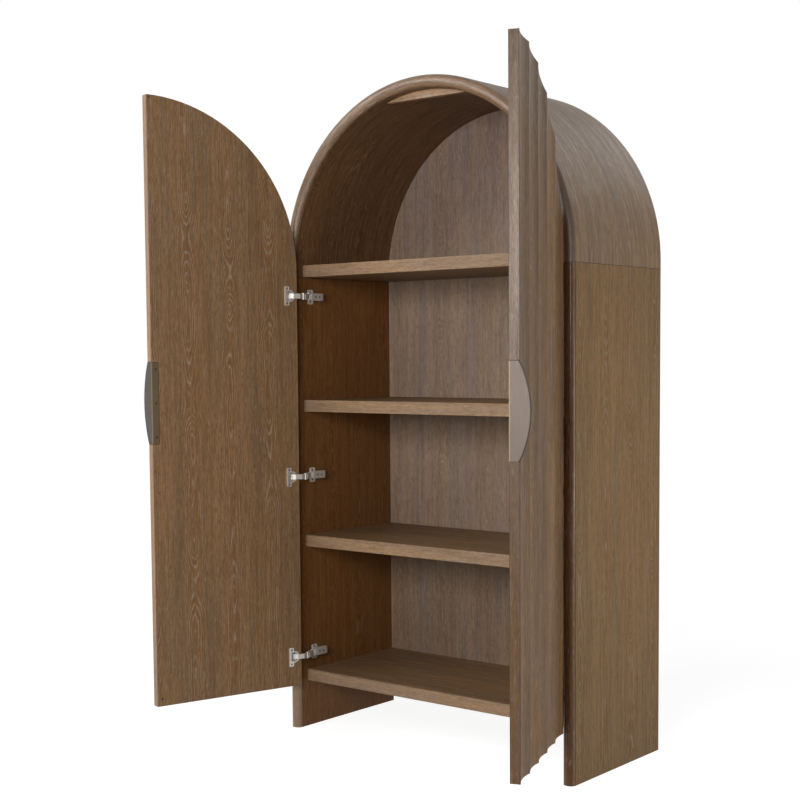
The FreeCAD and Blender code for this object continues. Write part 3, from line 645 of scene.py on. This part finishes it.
# Eased edges
for name, node in nodes.items():
    if name.startswith(EASED):
        merge = node.modifiers.new("merge", "WELD")
        merge.merge_threshold = 1e-6
        eased = node.modifiers.new("eased", "BEVEL")
        eased.width = EASE
        eased.segments = 2
        eased.limit_method = "ANGLE"
        eased.harden_normals = True
        eased.angle_limit = math.radians(40)


# Floor, light and camera

FLOOR_SIZE = 40
FLOOR_GREY = (0.74, 0.74, 0.73, 1)
SHADOW = 0.35
SHADOW_FADES = (1.5, 7.0)
AMBIENT = 0.18


def seen_directly(tree, links):
    """1 for rays from the camera, from metal and through glass, 0 for the light on the object."""
    rays = tree.new("ShaderNodeLightPath")
    found = rays.outputs["Is Camera Ray"]
    for name in ("Is Glossy Ray", "Is Transmission Ray"):
        either = tree.new("ShaderNodeMath")
        either.operation = "MAXIMUM"
        links.new(found, either.inputs[0])
        links.new(rays.outputs[name], either.inputs[1])
        found = either.outputs[0]
    return found


def white_stage(name):
    """Pale surface that the camera sees as white, with a soft shadow left in it near the object."""
    material = bpy.data.materials.new(name)
    material.use_nodes = True
    tree, links = material.node_tree.nodes, material.node_tree.links
    tree.clear()
    output = tree.new("ShaderNodeOutputMaterial")
    mix, add = tree.new("ShaderNodeMixShader"), tree.new("ShaderNodeAddShader")
    diffuse, faint = tree.new("ShaderNodeBsdfDiffuse"), tree.new("ShaderNodeBsdfDiffuse")
    glow = tree.new("ShaderNodeEmission")
    diffuse.inputs["Color"].default_value = FLOOR_GREY
    faint.inputs["Color"].default_value = (SHADOW, SHADOW, SHADOW, 1)
    where, away, fade = (tree.new("ShaderNode" + kind) for kind in ("TexCoord", "VectorMath", "MapRange"))
    away.operation = "LENGTH"
    for socket, value in zip(list(fade.inputs)[1:5], (*SHADOW_FADES, 1.0 - 0.45 * SHADOW, 1.0)):
        socket.default_value = value
    links.new(where.outputs["Object"], away.inputs[0])
    links.new(away.outputs["Value"], fade.inputs[0])
    links.new(fade.outputs[0], glow.inputs["Strength"])
    links.new(faint.outputs[0], add.inputs[0])
    links.new(glow.outputs[0], add.inputs[1])
    links.new(seen_directly(tree, links), mix.inputs[0])
    links.new(diffuse.outputs[0], mix.inputs[1])
    links.new(add.outputs[0], mix.inputs[2])
    links.new(mix.outputs[0], output.inputs[0])
    return material


def softbox(name, place, target, width, height, power):
    light = bpy.data.lights.new(name, "AREA")
    light.shape = "RECTANGLE"
    light.size, light.size_y, light.energy = width, height, power
    lamp = bpy.data.objects.new(name, light)
    bpy.context.collection.objects.link(lamp)
    lamp.location = place
    lamp.rotation_euler = (Vector(target) - Vector(place)).to_track_quat("-Z", "Y").to_euler()


bpy.ops.mesh.primitive_plane_add(size=FLOOR_SIZE)
floor = bpy.context.object
floor.name = "floor"
floor.data.materials.append(white_stage("white floor"))

world = bpy.data.worlds.new("studio")
bpy.context.scene.world = world
world.use_nodes = True
sky, sky_links = world.node_tree.nodes, world.node_tree.links
background = sky["Background"]
strength = sky.new("ShaderNodeMapRange")
strength.inputs["To Min"].default_value = AMBIENT
strength.inputs["To Max"].default_value = 1.0
sky_links.new(seen_directly(sky, sky_links), strength.inputs["Value"])
sky_links.new(strength.outputs[0], background.inputs["Strength"])
background.inputs["Color"].default_value = (1, 1, 1, 1)

softbox("front softbox", (1.2, -4.0, 1.75), (0, 0, 1.3), 2.0, 1.2, 150)
softbox("right softbox", (2.1, 0.15, 0.9), (0.5, 0, 0.9), 0.8, 0.8, 14)
softbox("left softbox", (-2.3, -3.5, 3.0), (-0.1, 0, 1.4), 1.6, 1.6, 95)
softbox("back softbox", (0.95, 2.85, 3.45), (0.3, 0, 1.75), 2.2, 1.4, 21)

# Camera of the photograph. The lens and its axis are in pixels of a picture 800 wide and high
PICTURE = 800
LENS_PX = 1430.2
AXIS_PX = (418.85, 456.55)
FROM_FRONT = 3.4044
SENSOR = 36.0
YAW, PITCH, ROLL = math.radians(38.888), math.radians(3.980), math.radians(0.390)

forward = Vector((-math.sin(YAW) * math.cos(PITCH), math.cos(YAW) * math.cos(PITCH), -math.sin(PITCH)))
level_right = Vector((math.cos(YAW), math.sin(YAW), 0))
level_down = forward.cross(level_right)
right = math.cos(ROLL) * level_right + math.sin(ROLL) * level_down
down = math.cos(ROLL) * level_down - math.sin(ROLL) * level_right
camera = bpy.data.objects.new("camera", bpy.data.cameras.new("camera"))
bpy.context.collection.objects.link(camera)
turned = Matrix((right, -down, -forward)).transposed().to_4x4()
camera.matrix_world = Matrix.Translation((2.7475, FRONT_Y - FROM_FRONT, 1.2334)) @ turned
camera.data.sensor_width = SENSOR
camera.data.lens = SENSOR * LENS_PX / PICTURE
camera.data.shift_x = (PICTURE / 2 - AXIS_PX[0]) / PICTURE
camera.data.shift_y = (AXIS_PX[1] - PICTURE / 2) / PICTURE
bpy.context.scene.camera = camera
bpy.context.scene.view_settings.view_transform = "Standard"
